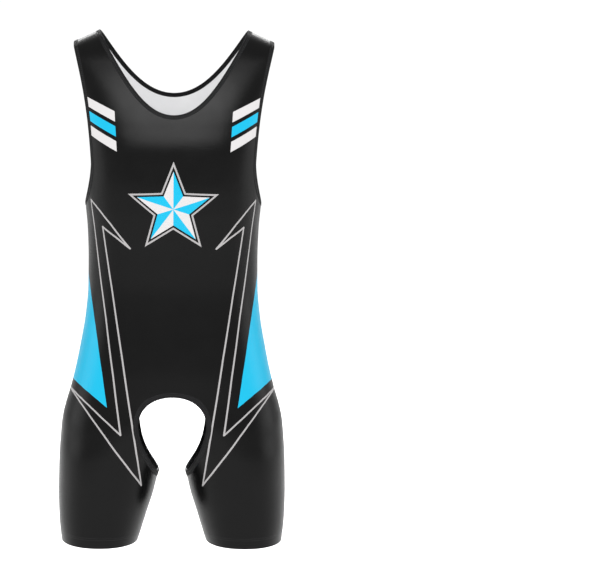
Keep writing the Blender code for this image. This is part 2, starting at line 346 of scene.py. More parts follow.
class StageSettings(bpy.types.PropertyGroup):
    roll: FloatProperty(
        name="Camera roll",
        description="How far the camera leans to one side",
        default=math.radians(0.66),
        subtype="ANGLE",
    )
    elevation: FloatProperty(
        name="Camera elevation",
        description="How far above the horizon the camera stands",
        default=SEEN_FROM,
        subtype="ANGLE",
    )
    distance: FloatProperty(
        name="Camera distance",
        description="From the camera to the garment",
        default=6.0,
        unit="LENGTH",
    )
    view_width: FloatProperty(
        name="View width",
        description="How much the picture takes in, side to side, at the garment",
        default=1.0149,
        unit="LENGTH",
    )
    floor_height: FloatProperty(
        name="Floor height",
        description="Where the floor lies, under the worn garment",
        default=-1.42,
        unit="LENGTH",
    )
    floor_colour: FloatVectorProperty(
        name="Floor colour",
        description="The plain pale floor",
        subtype="COLOR",
        default=linear("#fdfdfd"),
    )
    sky_strength: FloatProperty(
        name="Room light",
        description="Strength of the even light from all round",
        default=1.03,
        min=0.0,
    )


# The surface of the cloth


def slope_at(column, row):
    """A column's slope at a row of the table, held back so that no curve overshoots its rows."""
    if row == 0:
        leaves_the_ridge = SECTION_COLUMNS[column] in ("front", "back")
        return SECTIONS[1][column] - SECTIONS[0][column] if leaves_the_ridge else 0.0
    before = SECTIONS[row][column] - SECTIONS[row - 1][column]
    if row == LAST_LEVEL:
        return before
    after = SECTIONS[row + 1][column] - SECTIONS[row][column]
    return 0.0 if before * after <= 0 else 2 * before * after / (before + after)


def section_value(name, level):
    """A column of the table at any level, on a smooth cubic curve through its rows."""
    column = SECTION_COLUMNS.index(name)
    row = min(max(int(level), 0), LAST_LEVEL - 1)
    t = level - row
    start, end = SECTIONS[row][column], SECTIONS[row + 1][column]
    leave, arrive = slope_at(column, row), slope_at(column, row + 1)
    return (
        start * (2 * t**3 - 3 * t**2 + 1)
        + leave * (t**3 - 2 * t**2 + t)
        + end * (3 * t**2 - 2 * t**3)
        + arrive * (t**3 - t**2)
    )


def shoulder_rise(across, level):
    """How far the slope of the shoulders lifts a point above its section."""
    left = max(0.0, 1.0 - level / SLOPE_ENDS_AT_LEVEL)
    return SHOULDER_SLOPE * (STRAP_MIDDLE - abs(across)) * left**2 * (3 - 2 * left)


def cloth_point(half, share, level):
    """The outer face of the cloth, on the front or the back half."""
    turn = share * math.pi / 2
    squareness = section_value("squareness", level)
    corner = abs(math.sin(turn)) ** squareness + abs(math.cos(turn)) ** squareness
    reach = corner ** (-1 / squareness)
    middle = section_value("middle", level)
    across = middle + (section_value("outer", level) - middle) * reach * math.sin(turn)
    depth = section_value(half, level) * reach * math.cos(turn)
    height = section_value("height", level) + shoulder_rise(across, level)
    return Vector((across, TOWARDS[half] * depth, height))


def surface_slopes(half, share, level):
    """How a point of the cloth moves with its share and with its level."""
    above, below = max(level - TINY, 0.0), min(level + TINY, LAST_LEVEL)
    along_share = cloth_point(half, share + TINY, level) - cloth_point(half, share - TINY, level)
    along_level = cloth_point(half, share, below) - cloth_point(half, share, above)
    return along_share / (2 * TINY), along_level / (below - above)


def outward(half, share, level):
    """The cloth's normal. On a seam it lies in the seam's plane, so that two walls meet squarely."""
    along_share, along_level = surface_slopes(half, share, level)
    normal = along_share.cross(along_level) * TOWARDS[half]
    if level == 0.0 or abs(share) == 1.0:
        normal.y = 0.0
    return normal.normalized()


def lifted_point(half, share, level, lift):
    """A point this far off the outer face, with the small gap that the halves keep at a seam."""
    point = cloth_point(half, share, level) + outward(half, share, level) * lift
    point.y += TOWARDS[half] * SEAM_GAP / 2
    return point


def level_at(across, height):
    """The level at which the cloth passes this height, this far from the middle."""
    low, high = 0.0, float(LAST_LEVEL)
    for _ in range(LEVEL_HALVINGS):
        level = (low + high) / 2
        if section_value("height", level) + shoulder_rise(across, level) > height:
            low = level
        else:
            high = level
    return (low + high) / 2


def share_at(across, level):
    """The share of the way round at which a section is this far from the middle."""
    middle = section_value("middle", level)
    squareness = section_value("squareness", level)
    part = (across - middle) / (section_value("outer", level) - middle)
    if abs(part) >= 1.0:
        return math.copysign(1.0, part)
    if part == 0.0:
        return 0.0
    turn = math.atan((abs(part) ** -squareness - 1) ** (-1 / squareness))
    return math.copysign(turn / (math.pi / 2), part)


@lru_cache(maxsize=None)
def lengths_down():
    """How far down the cloth each step of a level lies from the shoulder ridge."""
    steps = LAST_LEVEL * MERIDIAN_STEPS
    points = [cloth_point("front", MERIDIAN_SHARE, n / MERIDIAN_STEPS) for n in range(steps + 1)]
    lengths = [0.0]
    for here, there in zip(points, points[1:]):
        lengths.append(lengths[-1] + (there - here).length)
    return lengths


def flat_place(half, share, level):
    """Where a point of the cloth lies on the flat, as (across, up) from the middle of the ridge."""
    points = [cloth_point(half, share * n / FLAT_STEPS, level) for n in range(FLAT_STEPS + 1)]
    around = sum((there - here).length for here, there in zip(points, points[1:]))
    step = min(level * MERIDIAN_STEPS, LAST_LEVEL * MERIDIAN_STEPS - TINY)
    lengths = lengths_down()
    down = lengths[int(step)] + (lengths[int(step) + 1] - lengths[int(step)]) * (step % 1)
    return Vector((section_value("middle", level) + math.copysign(around, share), -down, 0.0))


def seen_on_flat(half, across, height):
    """The flat place, in millimetres, of a point given as seen from the front or the back."""
    level = level_at(across, height)
    return flat_place(half, share_at(across, level), level) * MILLIMETRES


# The edges of the cloth. Followed in this order they run once round the left half of a panel:
# opening, inseam, hem, side seam, armhole, shoulder, neckline.


def bezier(points, t):
    weights = ((1 - t) ** 3, 3 * t * (1 - t) ** 2, 3 * t**2 * (1 - t), t**3)
    return tuple(sum(w * point[axis] for w, point in zip(weights, points)) for axis in (0, 1))


def seen_edge(points, t):
    """A point of an edge that is drawn as seen from the front or the back, as (share, level)."""
    across, height = bezier(points, t)
    level = level_at(across, height)
    return share_at(across, level), level


@lru_cache(maxsize=None)
def opening(half, t):
    """From the middle of the seat opening, at 0, past its widest, at 1, to the inseam, at 2."""
    part = min(int(t), 1)
    rest = t - part
    return seen_edge(OPENING[half][part], rest if part == 0 else 1 - (1 - rest) ** 2)


@lru_cache(maxsize=None)
def inseam(half, t):
    """From the top of the inseam, at 0, to the hem, at 1."""
    top = opening(half, 2.0)[1]
    return -1.0, top + (LAST_LEVEL - top) * t


@lru_cache(maxsize=None)
def hem(half, t):
    """From the inseam, at 0, to the side seam, at 1."""
    return 2.0 * t - 1.0, float(LAST_LEVEL)


@lru_cache(maxsize=None)
def side_seam(half, t):
    """From the hem, at 0, to the armhole, at 1."""
    return 1.0, LAST_LEVEL + (ARMPIT_LEVEL - LAST_LEVEL) * t


@lru_cache(maxsize=None)
def armhole(half, t):
    """From the side seam, at 0, past the armhole's turn, at 1, to the shoulder ridge, at 2."""
    part = min(int(t), 1)
    return bezier(ARMHOLE[half][part], t - part)


@lru_cache(maxsize=None)
def shoulder(half, t):
    """Along the ridge, from the armhole, at 0, to the neckline, at 1."""
    neck = share_at(NECK_POINT[0], 0.0)
    return ARMHOLE_TOP_SHARE + (neck - ARMHOLE_TOP_SHARE) * t, 0.0


@lru_cache(maxsize=None)
def neckline(half, t):
    """From the shoulder ridge, at 0, to the middle of the neck, at 1."""
    return seen_edge(NECKLINE[half], t**2)


LAST_STEP = {opening: 2.0, armhole: 2.0}


@lru_cache(maxsize=None)
def step_in(half, edge, t):
    """How share and level change for each metre into the cloth, square to an edge."""
    share, level = edge(half, t)
    here = edge(half, max(t - TINY, 0.0))
    there = edge(half, min(t + TINY, LAST_STEP.get(edge, 1.0)))
    along_share, along_level = surface_slopes(half, share, level)
    along_edge = along_share * (there[0] - here[0]) + along_level * (there[1] - here[1])
    inwards = along_edge.cross(outward(half, share, level)).normalized() * TOWARDS[half]
    # The steps in share and level that together move a point of the surface inwards
    a, b, c = along_share.length_squared, along_share.dot(along_level), along_level.length_squared
    p, q = along_share.dot(inwards), along_level.dot(inwards)
    size = a * c - b * b
    return (p * c - q * b) / size, (q * a - p * b) / size


def inset_place(half, edge, t, inset):
    """A point this far into the cloth from an edge, as (share, level), held to the seams' planes."""
    share, level = edge(half, t)
    if inset:
        share_step, level_step = step_in(half, edge, t)
        share, level = share + share_step * inset, level + level_step * inset
    last = LAST_STEP.get(edge, 1.0)
    if edge is neckline:
        share, level = (share, 0.0) if t <= 0 else (0.0 if t >= last else share, level)
    elif edge is opening:
        share = 0.0 if t <= 0 else (-1.0 if t >= last else share)
    elif edge is armhole:
        share, level = (1.0 if t <= 0 else share), (0.0 if t >= last else level)
    elif edge is hem:
        share = -1.0 if t <= 0 else (1.0 if t >= last else share)
    elif edge is side_seam and t <= 0:
        level = float(LAST_LEVEL)
    elif edge is inseam and t >= last:
        level = float(LAST_LEVEL)
    return share, max(min(level, float(LAST_LEVEL)), 0.0)


def spread(start, end, count):
    """Evenly spaced values from start to end, both included."""
    return [start + (end - start) * n / count for n in range(count + 1)]


def neck_steps(fineness):
    """Places along the neckline, from its middle up to the shoulder."""
    return spread(1.0, 0.0, STRAP_ROWS * fineness)


def opening_steps(fineness):
    """Places along the seat opening, from the inseam up to its middle."""
    lower = spread(2.0, 1.0, OPENING_LOWER_ROWS * fineness)
    return lower + spread(1.0, 0.0, OPENING_UPPER_ROWS * fineness)[1:]


def armhole_steps(fineness):
    """Places along the armhole, from the side seam up to the shoulder."""
    lower = spread(0.0, 1.0, UPPER_BODY_ROWS * fineness)
    return lower + spread(1.0, 2.0, STRAP_ROWS * fineness)[1:]


def inner_border(half, fineness, neck_inset, opening_inset):
    """The panel's inner edge, a point for each row, from the leg hem to the neck."""
    opening_places = opening_steps(fineness)
    round_opening = [inset_place(half, opening, t, opening_inset) for t in opening_places]
    round_neck = [inset_place(half, neckline, t, neck_inset) for t in neck_steps(fineness)]
    at_armpit = level_at(0.0, MIDDLE_AT_ARMPIT)
    leg = spread(LAST_LEVEL, round_opening[0][1], LEG_ROWS * fineness)[:-1]
    lower_body = spread(round_opening[-1][1], at_armpit, LOWER_BODY_ROWS * fineness)[1:]
    upper_body = spread(at_armpit, round_neck[0][1], UPPER_BODY_ROWS * fineness)[1:]
    middle_line = [(0.0, level) for level in lower_body + upper_body]
    return [(-1.0, level) for level in leg] + round_opening + middle_line + round_neck[1:]


def outer_border(half, fineness, armhole_inset):
    """The panel's outer edge, a point for each row, from the leg hem to the armhole's top."""
    armhole_places = armhole_steps(fineness)
    round_armhole = [inset_place(half, armhole, t, armhole_inset) for t in armhole_places]
    beside_inseam = level_at(0.0, SIDE_BESIDE_INSEAM)
    above_opening = level_at(0.0, SIDE_ABOVE_OPENING)
    opening_rows = (OPENING_LOWER_ROWS + OPENING_UPPER_ROWS) * fineness
    leg = spread(LAST_LEVEL, beside_inseam, LEG_ROWS * fineness)[:-1]
    seat = spread(beside_inseam, above_opening, opening_rows)
    body = spread(above_opening, round_armhole[0][1], LOWER_BODY_ROWS * fineness)[1:]
    return [(1.0, level) for level in leg + seat + body] + round_armhole[1:]


# Making cloth from the surface


def between(start, end, part):
    return start * (1 - part) + end * part


def sheet_grid(columns, rows):
    """A flat grid with layers for the wall's direction and for the place on the flat cloth."""
    bm = bmesh.new()
    bmesh.ops.create_grid(bm, x_segments=columns, y_segments=rows, size=0.5)
    return bm, bm.verts.layers.float_vector.new("wall"), bm.verts.layers.float_vector.new("flat")


def grid_place(vertex, columns, rows):
    return round((vertex.co.x + 0.5) * columns), round((vertex.co.y + 0.5) * rows)


def panel_sheet(half, near_side, far_side, parts):
    """The left half of a panel between its two borders, dipping where it is sewn to the other."""
    columns, rows = len(parts) - 1, len(near_side) - 1
    bm, wall, flat = sheet_grid(columns, rows)
    for vertex in bm.verts:
        column, row = grid_place(vertex, columns, rows)
        share = between(near_side[row][0], far_side[row][0], parts[column])
        level = between(near_side[row][1], far_side[row][1], parts[column])
        sewn = abs(share) == 1.0 or level == 0.0
        vertex[wall] = outward(half, share, level)
        vertex[flat] = flat_place(half, share, level) * MILLIMETRES
        vertex.co = lifted_point(half, share, level, -SEAM_SINK if sewn else 0.0)
    return bm


def strip_sheet(half, edge, places, profile):
    """A strip that follows an edge. Its profile is a list of (inset, lift)."""
    columns, rows = len(profile) - 1, len(places) - 1
    bm, _, flat = sheet_grid(columns, rows)
    middle = [cloth_point(half, *inset_place(half, edge, t, profile[0][0])) for t in places]
    along = [0.0]
    for here, there in zip(middle, middle[1:]):
        along.append(along[-1] + (there - here).length)
    for vertex in bm.verts:
        column, row = grid_place(vertex, columns, rows)
        inset, lift = profile[column]
        share, level = inset_place(half, edge, places[row], inset)
        vertex[flat] = Vector((along[row], inset, 0.0)) * MILLIMETRES
        vertex.co = lifted_point(half, share, level, lift)
    return bm


def add_other_side(bm):
    """Adds the sheet's mirror image and joins the two where the cloth crosses the middle."""
    whole = bm.verts[:] + bm.edges[:] + bm.faces[:]
    bmesh.ops.mirror(bm, geom=whole, merge_dist=TINY, axis="X")
    for layer in (bm.verts.layers.float_vector["wall"], bm.verts.layers.float_vector["flat"]):
        for vertex in bm.verts:
            if vertex.co.x < -TINY:
                vertex[layer].x *= -1


def swap_sides(bm):
    """Turns a piece for the left side into the one for the right side."""
    bmesh.ops.scale(bm, vec=(-1.0, 1.0, 1.0), verts=bm.verts[:])
    bmesh.ops.reverse_faces(bm, faces=bm.faces[:])


def make_wall(bm, thickness):
    """Makes the sheet a closed wall, whose inner face takes the second material."""
    wall = bm.verts.layers.float_vector["wall"]
    made = bmesh.ops.extrude_face_region(bm, geom=bm.faces[:])
    for item in made["geom"]:
        if isinstance(item, bmesh.types.BMVert):
            item.co -= item[wall] * thickness
        elif isinstance(item, bmesh.types.BMFace):
            item.material_index = 1
    bmesh.ops.recalc_face_normals(bm, faces=bm.faces[:])


def close_strip(bm):
    """Joins the strip's two long edges, which lie on each other, and caps its ends."""
    bmesh.ops.remove_doubles(bm, verts=bm.verts[:], dist=TINY / 10)
    bmesh.ops.holes_fill(bm, edges=[edge for edge in bm.edges if edge.is_boundary], sides=0)
    bmesh.ops.recalc_face_normals(bm, faces=bm.faces[:])


def folded_profile(width, top, bottom, stitch_rows, dip):
    """The outline of a folded strip: round at its fold, and pulled in at each row of stitches."""
    half_thick, centre = (top - bottom) / 2, (top + bottom) / 2
    turns = spread(0.0, math.pi / 2, FOLD_STEPS)
    insets = [half_thick * (1 - math.cos(turn)) for turn in turns]
    insets += spread(half_thick, width * EDGE_STARTS, FACE_STEPS)[1:]
    insets += [width * EDGE_MIDDLE, width]
    outline = []
    for inset in insets:
        round_fold = min(inset / half_thick, 1.0)
        rise = math.sqrt(1 - (1 - round_fold) ** 2)
        edge_drop = EDGE_DROP * max(0.0, (inset / width - EDGE_STARTS) / (1 - EDGE_STARTS))
        pulled = sum(math.exp(-(((inset - row) / DIP_WIDTH) ** 2)) for row in stitch_rows)
        outline.append((inset, half_thick * (rise - edge_drop) - dip * pulled))
    face = [(inset, centre + rise) for inset, rise in outline]
    back = [(inset, centre - rise) for inset, rise in outline]
    return list(reversed(face)) + back[1:] + [face[-1]]


def add_piece(name, bm, materials, sharp=SHARP_ANGLE):
    """Makes the piece, with its UV map of the flat cloth, in the garment's own place."""
    flat = bm.verts.layers.float_vector.get("flat")
    if flat is not None:
        uv = bm.loops.layers.uv.new(FLAT_MAP)
        for face in bm.faces:
            for loop in face.loops:
                loop[uv].uv = loop.vert[flat].xy
    mesh = bpy.data.meshes.new(name)
    bm.to_mesh(mesh)
    bm.free()
    for material in materials:
        mesh.materials.append(material)
    mesh.shade_smooth()
    mesh.set_sharp_from_angle(angle=sharp)
    piece = bpy.data.objects.new(name, mesh)
    bpy.context.scene.collection.objects.link(piece)
    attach(piece, "root")
    return piece


# Materials

MATH = "ShaderNodeMath"
VECTOR_MATH = "ShaderNodeVectorMath"

# The pitch of the patterns is in millimetres, as the flat map is. The knit's rows of loops are drawn
# twice as coarse as real ones, so that a close view shows them.
WALE_PITCH = 1.1
COURSE_PITCH = 0.8
RIB_PITCH = 1.0
# How far the courses lean to and fro with the wales, and how high they stand beside them
COURSE_LEAN = 1.3
COURSE_SHARE = 0.6
# How deep the loops and the twist of the thread look, in metres
KNIT_DEPTH = 0.00012
TWIST_DEPTH = 0.00005
TWISTS_PER_METRE = 2500.0
# Most of a slow drift's noise lies between these two values.
DRIFT_RANGE = (0.3, 0.7)
# The slant at which the gloss starts to fade and at which it has gone, where 0 is face on
GLOSS_FADES = (0.45, 0.95)


def fill_inputs(tree, node, values):
    """Links or sets a node's inputs, given by number or by name."""
    for socket, value in values.items():
        if isinstance(value, bpy.types.NodeSocket):
            tree.links.new(value, node.inputs[socket])
        else:
            node.inputs[socket].default_value = value


def add_node(tree, kind, *values, inputs=None, **settings):
    """Adds a node, sets its properties, and fills its inputs in their order or by name."""
    node = tree.nodes.new(kind)
    for name, value in settings.items():
        setattr(node, name, value)
    fill_inputs(tree, node, {**dict(enumerate(values)), **(inputs or {})})
    return node


def joined(tree, operation, values):
    """Works a list of values into one, such as the least of them, two at a time."""
    result = values[0]
    for value in values[1:]:
        result = add_node(tree, MATH, result, value, operation=operation).outputs[0]
    return result


@lru_cache(maxsize=None)
def line_distance_group():
    """How far a point is from a straight line between two places."""
    group = bpy.data.node_groups.new("distance_to_line", "ShaderNodeTree")
    for name in ("Point", "Start", "End"):
        group.interface.new_socket(name, in_out="INPUT", socket_type="NodeSocketVector")
    group.interface.new_socket("Distance", in_out="OUTPUT", socket_type="NodeSocketFloat")
    point, start, end = add_node(group, "NodeGroupInput").outputs[:3]
    along = add_node(group, VECTOR_MATH, end, start, operation="SUBTRACT").outputs[0]
    reach = add_node(group, VECTOR_MATH, point, start, operation="SUBTRACT").outputs[0]
    shadow = add_node(group, VECTOR_MATH, reach, along, operation="DOT_PRODUCT").outputs["Value"]
    length = add_node(group, VECTOR_MATH, along, along, operation="DOT_PRODUCT").outputs["Value"]
    part = add_node(group, MATH, shadow, length, operation="DIVIDE", use_clamp=True).outputs[0]
    foot = add_node(group, VECTOR_MATH, along, inputs={"Scale": part}, operation="SCALE").outputs[0]
    rest = add_node(group, VECTOR_MATH, reach, foot, operation="SUBTRACT").outputs[0]
    distance = add_node(group, VECTOR_MATH, rest, operation="LENGTH").outputs["Value"]
    add_node(group, "NodeGroupOutput", inputs={"Distance": distance})
    return group


def shown_height(half, across, height):
    """How high a place shows from a little above, where cloth that stands nearer shows lower."""
    level = level_at(across, height)
    depth = abs(cloth_point(half, share_at(across, level), level).y)
    return height * math.cos(SEEN_FROM) - depth * math.sin(SEEN_FROM)


def height_at(half, across, shown):
    """The height of the place that shows at this height."""
    height = shown
    for _ in range(HEIGHT_TRIES):
        height += (shown - shown_height(half, across, height)) * HEIGHT_STEP
    return height


def bent_places(place_at, first, last):
    """The first place and those after it, closer together where the line bends on the flat cloth."""
    middle = (first + last) / 2
    chord = place_at(last) - place_at(first)
    off_chord = (place_at(middle) - place_at(first)).cross(chord.normalized()).length
    if off_chord < LINE_BEND or last - first < LEAST_PIECE:
        return [place_at(first)]
    return bent_places(place_at, first, middle) + bent_places(place_at, middle, last)


def seen_line(half, start, end):
    """Flat places along a line that looks straight from a little above."""
    ends = shown_height(half, *start), shown_height(half, *end)

    @lru_cache(maxsize=None)
    def place_at(part):
        across = between(start[0], end[0], part)
        return seen_on_flat(half, across, height_at(half, across, between(*ends, part)))

    halves = bent_places(place_at, 0.0, 0.5) + bent_places(place_at, 0.5, 1.0)
    return halves + [place_at(1.0)]


def lines_mask(tree, point, half, rows_of_corners):
    """1 within half a line's width of any of the lines from corner to corner."""
    distances = []
    for corners in rows_of_corners:
        for line_ends in zip(corners, corners[1:]):
            places = seen_line(half, *line_ends)
            for start, end in zip(places, places[1:]):
                sockets = {"Point": point, "Start": start, "End": end}
                group = line_distance_group()
                piece = add_node(tree, "ShaderNodeGroup", inputs=sockets, node_tree=group)
                distances.append(piece.outputs["Distance"])
    nearest = joined(tree, "MINIMUM", distances)
    half_width = PRINT_LINE_WIDTH / 2 * MILLIMETRES
    return add_node(tree, MATH, nearest, half_width, operation="LESS_THAN").outputs[0]


def side_of_line(tree, point, start, end, inside):
    """How far a point lies from an endless line, positive on the side of the place inside."""
    along = (end - start).normalized()
    normal = Vector((along.y, -along.x, 0.0))
    if normal.dot(inside - start) < 0:
        normal = -normal
    shadow = add_node(tree, VECTOR_MATH, point, normal, operation="DOT_PRODUCT").outputs["Value"]
    return add_node(tree, MATH, shadow, normal.dot(start), operation="SUBTRACT").outputs[0]


def side_of_bent_line(tree, point, places, inside):
    """How far a point lies from a line of several pieces, positive on the side of the place inside."""
    chord = places[-1] - places[0]
    across_chord = Vector((chord.y, -chord.x, 0.0))
    bend = across_chord.dot(places[len(places) // 2] - places[0])
    bulges = bend * across_chord.dot(inside - places[0]) < 0
    sides = [side_of_line(tree, point, *ends, inside) for ends in zip(places, places[1:])]
    return joined(tree, "MINIMUM" if bulges else "MAXIMUM", sides)


def triangle_mask(tree, point):
    """1 in the triangle between two lines and the side seam."""
    upper, tip, lower = SIDE_TRIANGLE
    inside = seen_on_flat("front", *INSIDE_TRIANGLE)
    sides = [
        side_of_bent_line(tree, point, seen_line("front", start, tip), inside)
        for start in (upper, lower)
    ]
    nearer = joined(tree, "MINIMUM", sides)
    return add_node(tree, MATH, nearer, 0.0, operation="GREATER_THAN").outputs[0]


def bar_masks(tree, point, half):
    """1 in any of the strap's bars, and 1 in the middle one alone."""
    start, end, next_start = (seen_on_flat(half, *place) for place in BARS[half])
    depth = side_of_line(tree, point, start, end, next_start)
    along = (end - start).normalized()
    pitch = abs(Vector((along.y, -along.x, 0.0)).dot(next_start - start))
    row = add_node(tree, MATH, depth, pitch, operation="DIVIDE").outputs[0]
    part = add_node(tree, MATH, row, operation="FRACT").outputs[0]
    limits = [
        add_node(tree, MATH, part, BAR_PART, operation="LESS_THAN").outputs[0],
        add_node(tree, MATH, row, 0.0, operation="GREATER_THAN").outputs[0],
        add_node(tree, MATH, row, float(BAR_COUNT), operation="LESS_THAN").outputs[0],
    ]
    if half == "front":
        ends = [seen_on_flat(half, *place) for place in BARS_INNER_END]
        outside_end = side_of_line(tree, point, *ends, end)
        limits.append(add_node(tree, MATH, outside_end, 0.0, operation="GREATER_THAN").outputs[0])
    bars = joined(tree, "MULTIPLY", limits)
    row_number = add_node(tree, MATH, row, operation="FLOOR").outputs[0]
    in_middle = add_node(tree, MATH, row_number, BAR_COUNT // 2, 0.5, operation="COMPARE").outputs[0]
    return bars, joined(tree, "MULTIPLY", [bars, in_middle])


def star_masks(tree, point):
    """1 in the star, 1 in the cyan half of each arm, and 1 in the thin line round the star."""
    centre = seen_on_flat("front", *STAR_MIDDLE)
    place = add_node(tree, VECTOR_MATH, point, centre, operation="SUBTRACT").outputs[0]
    axes = add_node(tree, "ShaderNodeSeparateXYZ", place).outputs
    distance = add_node(tree, VECTOR_MATH, place, operation="LENGTH").outputs["Value"]
    half_arm = math.pi / STAR_ARMS
    turn = add_node(tree, MATH, axes["X"], axes["Y"], operation="ARCTAN2").outputs[0]
    turn = add_node(tree, MATH, turn, half_arm, -half_arm, operation="WRAP").outputs[0]
    # All half arms are folded onto one, as lengths along the arm's middle line and off it.
    lengths = []
    for operation in ("COSINE", "SINE"):
        part = add_node(tree, MATH, turn, operation=operation).outputs[0]
        length = add_node(tree, MATH, distance, part, operation="MULTIPLY").outputs[0]
        lengths.append(add_node(tree, MATH, length, operation="ABSOLUTE").outputs[0])
    folded = add_node(tree, "ShaderNodeCombineXYZ", *lengths).outputs[0]
    radius = STAR_RADIUS * MILLIMETRES
    tip = Vector((radius, 0.0, 0.0))
    notch = Vector((math.cos(half_arm), math.sin(half_arm), 0.0)) * radius * STAR_NOTCH
    inside = side_of_line(tree, folded, tip, notch, Vector((0.0, 0.0, 0.0)))
    star = add_node(tree, MATH, inside, 0.0, operation="GREATER_THAN").outputs[0]
    cyan_side = add_node(tree, MATH, turn, 0.0, operation="GREATER_THAN").outputs[0]
    half_rim = STAR_RIM_WIDTH / 2 * MILLIMETRES
    rim_middle = -STAR_RIM_GAP * MILLIMETRES - half_rim
    rim = add_node(tree, MATH, inside, rim_middle, half_rim, operation="COMPARE").outputs[0]
    return star, joined(tree, "MULTIPLY", [star, cyan_side]), rim


def crescent_masks(tree, point):
    """1 in the crescent, and 1 outside it and the black halo round it."""
    centre, top, side = (seen_on_flat("back", *place) for place in CRESCENT)
    size = Vector((side.x, top.y - centre.y, 1.0))
    place = add_node(tree, VECTOR_MATH, point, centre, operation="SUBTRACT").outputs[0]
    scaled = add_node(tree, VECTOR_MATH, place, size, operation="DIVIDE").outputs[0]
    radius = add_node(tree, VECTOR_MATH, scaled, operation="LENGTH").outputs["Value"]
    halo = 1.0 + CRESCENT_HALO * MILLIMETRES / size.y
    crescent = add_node(tree, MATH, radius, 1.0, operation="LESS_THAN").outputs[0]
    in_halo = add_node(tree, MATH, radius, halo, operation="LESS_THAN").outputs[0]
    return crescent, add_node(tree, MATH, 1.0, in_halo, operation="SUBTRACT").outputs[0]


def place_on_flat(tree):
    """The shaded place on the flat cloth, in millimetres, as a vector and as its axes."""
    place = add_node(tree, "ShaderNodeUVMap", uv_map=FLAT_MAP).outputs["UV"]
    return place, add_node(tree, "ShaderNodeSeparateXYZ", place).outputs


def print_layers(tree, half, cloth):
    """The masks and colours of the print, in the order in which they are laid on the cloth. All but
    the star is drawn on the left side and folded over onto the right one."""
    unfolded, axes = place_on_flat(tree)
    side = add_node(tree, MATH, axes["X"], operation="ABSOLUTE").outputs[0]
    point = add_node(tree, "ShaderNodeCombineXYZ", side, axes["Y"]).outputs[0]
    bars, middle_bar = bar_masks(tree, point, half)
    bar_layers = [(bars, cloth.white), (middle_bar, cloth.cyan)]
    if half == "front":
        star, cyan_sides, rim = star_masks(tree, unfolded)
        return [
            (lines_mask(tree, point, half, [FRONT_BOLT]), cloth.grey),
            (triangle_mask(tree, point), cloth.cyan),
            *bar_layers,
            (star, cloth.white),
            (cyan_sides, cloth.cyan),
            (rim, cloth.grey),
        ]
    crescent, outside_halo = crescent_masks(tree, point)
    lines = lines_mask(tree, point, half, BACK_LINES)
    lines = joined(tree, "MULTIPLY", [lines, outside_halo])
    return [(lines, cloth.grey), *bar_layers, (crescent, cloth.white)]


def printed(tree, ground, layers):
    """The ground with each layer's colour laid over it where the layer's mask is 1."""
    for mask, colour in layers:
        colours = {0: mask, 6: ground, 7: (*colour, 1.0)}
        ground = add_node(tree, "ShaderNodeMix", inputs=colours, data_type="RGBA").outputs[2]
    return ground


def knit_relief(tree, strength):
    """Rows of loops that lean to and fro, a little uneven, as a light jersey has."""
    _, axes = place_on_flat(tree)
    along, up = (
        add_node(tree, MATH, axes[name], 2 * math.pi / pitch, operation="MULTIPLY").outputs[0]
        for name, pitch in (("X", WALE_PITCH), ("Y", COURSE_PITCH))
    )
    wale = add_node(tree, MATH, along, operation="SINE").outputs[0]
    leaning = add_node(tree, MATH, wale, COURSE_LEAN, up, operation="MULTIPLY_ADD").outputs[0]
    course = add_node(tree, MATH, leaning, operation="SINE").outputs[0]
    height = add_node(tree, MATH, course, COURSE_SHARE, wale, operation="MULTIPLY_ADD").outputs[0]
    relief = {"Height": height, "Strength": strength, "Distance": KNIT_DEPTH}
    return add_node(tree, "ShaderNodeBump", inputs=relief).outputs["Normal"]


def uneven(tree, size, low, high):
    """A slow drift between two values over patches of this size in millimetres."""
    place, _ = place_on_flat(tree)
    cloud = {"Vector": place, "Scale": 1 / size, "Detail": 3.0}
    noise = add_node(tree, "ShaderNodeTexNoise", inputs=cloud).outputs["Fac"]
    return add_node(tree, "ShaderNodeMapRange", noise, *DRIFT_RANGE, low, high).outputs["Result"]


def dyed(tree, colour, size, low, high):
    """A colour that is a little darker and lighter over patches of this size in millimetres."""
    shades = {0: tuple(colour), "Scale": uneven(tree, size, low, high)}
    return add_node(tree, VECTOR_MATH, inputs=shades, operation="SCALE").outputs[0]


def soft_gloss(tree, level):
    """A gloss that fades at a slant, where the yarns of a real knit hide it."""
    slant = add_node(tree, "ShaderNodeLayerWeight", 0.5).outputs["Facing"]
    return add_node(tree, "ShaderNodeMapRange", slant, *GLOSS_FADES, level, 0.0).outputs["Result"]


def new_material(name):
    material = bpy.data.materials.new(name)
    material.use_nodes = True
    tree = material.node_tree
    return material, tree, tree.nodes["Principled BSDF"]


def printed_jersey(half, cloth):
    """Polyester and elastane jersey, knitted smooth, dyed black and printed in flat colours.
    The face has a soft, slightly satin gloss that follows the stretch of the cloth."""
    material, tree, shader = new_material("printed_jersey_" + half)
    ground = dyed(tree, cloth.black, 45.0, 0.88, 1.12)
    finish = {
        "Base Color": printed(tree, ground, print_layers(tree, half, cloth)),
        "Roughness": uneven(tree, 30.0, 0.22, 0.27),
        "Specular IOR Level": soft_gloss(tree, 0.10),
        "Normal": knit_relief(tree, 0.12),
    }
    fill_inputs(tree, shader, finish)
    return material


def plain_jersey(cloth):
    """The inner face of the same jersey, undyed white and duller, with no print through it."""
    material, tree, shader = new_material("undyed_jersey_inside")
    finish = {
        "Base Color": dyed(tree, cloth.inside, 40.0, 0.94, 1.0),
        "Roughness": 0.8,
        "Sheen Weight": 0.1,
        "Normal": knit_relief(tree, 0.5),
    }
    fill_inputs(tree, shader, finish)
    return material


